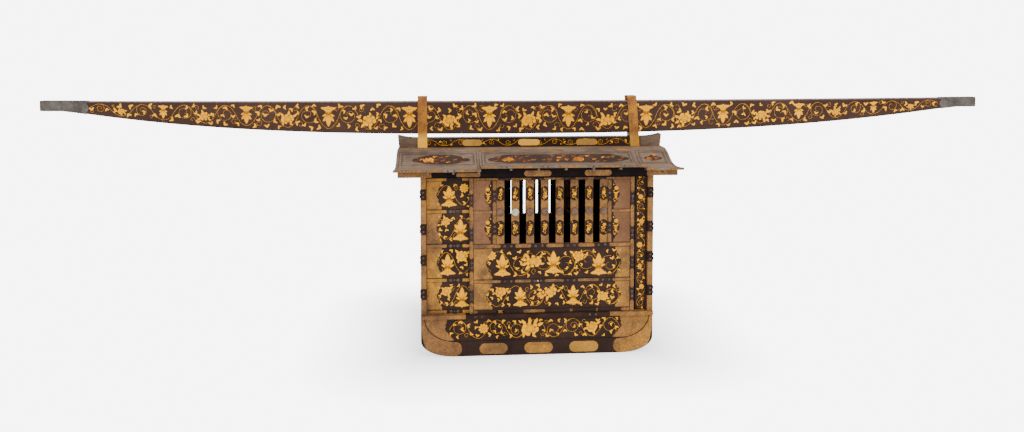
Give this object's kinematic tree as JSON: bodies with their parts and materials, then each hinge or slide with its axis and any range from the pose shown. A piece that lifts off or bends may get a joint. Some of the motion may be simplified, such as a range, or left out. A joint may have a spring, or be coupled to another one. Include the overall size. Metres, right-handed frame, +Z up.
{
  "type": "lacquered palanquin",
  "caption": "Closed carrying cabin with sliding latticed doors and lifting roof flaps, hung by metal bands from one long tapered pole.",
  "frame": {"origin": "on the ground under the middle of the pole's length and of the cabin's width", "axes": "+Z up, X along the pole with the pictured side's right end at +X, -Y towards the pictured long side"},
  "size_m": [4.85, 0.9988, 1.2291],
  "materials": {
    "black_lacquer": "black-brown lacquered wood with gold sprinkled peony and vine scrolls",
    "worn_lacquer": "weathered grey-brown lacquered wood, faintly decorated",
    "gilt_mounted_wood": "wood covered with chased and gilt copper mounts between lacquered spans",
    "gilt_copper": "worn gilt copper band",
    "iron": "dull grey-brown metal"
  },
  "bodies": {
    "carriage": {"ceiling": "worn_lacquer", "ferrule_left": "iron", "ferrule_right": "iron", "floor": "black_lacquer", "front_jamb": "black_lacquer", "front_lintel": "black_lacquer", "front_post_left": "gilt_mounted_wood", "front_post_right": "gilt_mounted_wood", "front_purlin": "black_lacquer", "front_sill": "black_lacquer", "front_skirt": "black_lacquer", "front_wall": "black_lacquer", "left_end_board": "black_lacquer", "left_end_sill": "black_lacquer", "left_end_wall": "black_lacquer", "pole": "black_lacquer", "rear_jamb": "black_lacquer", "rear_lintel": "black_lacquer", "rear_post_left": "gilt_mounted_wood", "rear_post_right": "gilt_mounted_wood", "rear_purlin": "black_lacquer", "rear_sill": "black_lacquer", "rear_skirt": "black_lacquer", "rear_wall": "black_lacquer", "ridge_box": "black_lacquer", "right_end_board": "black_lacquer", "right_end_sill": "black_lacquer", "right_end_wall": "black_lacquer", "roof": "worn_lacquer", "saddle_left": "black_lacquer", "saddle_right": "black_lacquer", "strap_left": "gilt_copper", "strap_right": "gilt_copper"},
    "front_door": {"front_door_frame": "gilt_mounted_wood", "front_door_grille": "gilt_mounted_wood", "front_door_lower_panel": "black_lacquer", "front_door_side_panel_left": "worn_lacquer", "front_door_side_panel_right": "worn_lacquer", "front_door_upper_panel": "black_lacquer"},
    "front_flap": {"front_roof_flap": "worn_lacquer"},
    "rear_door": {"rear_door_frame": "gilt_mounted_wood", "rear_door_grille": "gilt_mounted_wood", "rear_door_lower_panel": "black_lacquer", "rear_door_side_panel_left": "worn_lacquer", "rear_door_side_panel_right": "worn_lacquer", "rear_door_upper_panel": "black_lacquer"},
    "rear_flap": {"rear_roof_flap": "worn_lacquer"}
  },
  "joints": [
    {"name": "front_door_slide", "type": "slide", "parent": "carriage", "child": "front_door", "axis": [1, 0, 0], "range_m": [-0.204, 0.064]},
    {"name": "rear_door_slide", "type": "slide", "parent": "carriage", "child": "rear_door", "axis": [-1, 0, 0], "range_m": [-0.204, 0.064]},
    {"name": "front_flap_hinge", "type": "hinge", "parent": "carriage", "child": "front_flap", "pos_m": [0.025, -0.1555, 0.96145], "axis": [-1, 0, 0], "range_deg": [0, 100]},
    {"name": "rear_flap_hinge", "type": "hinge", "parent": "carriage", "child": "rear_flap", "pos_m": [0.025, 0.1555, 0.96145], "axis": [1, 0, 0], "range_deg": [0, 100]}
  ]
}
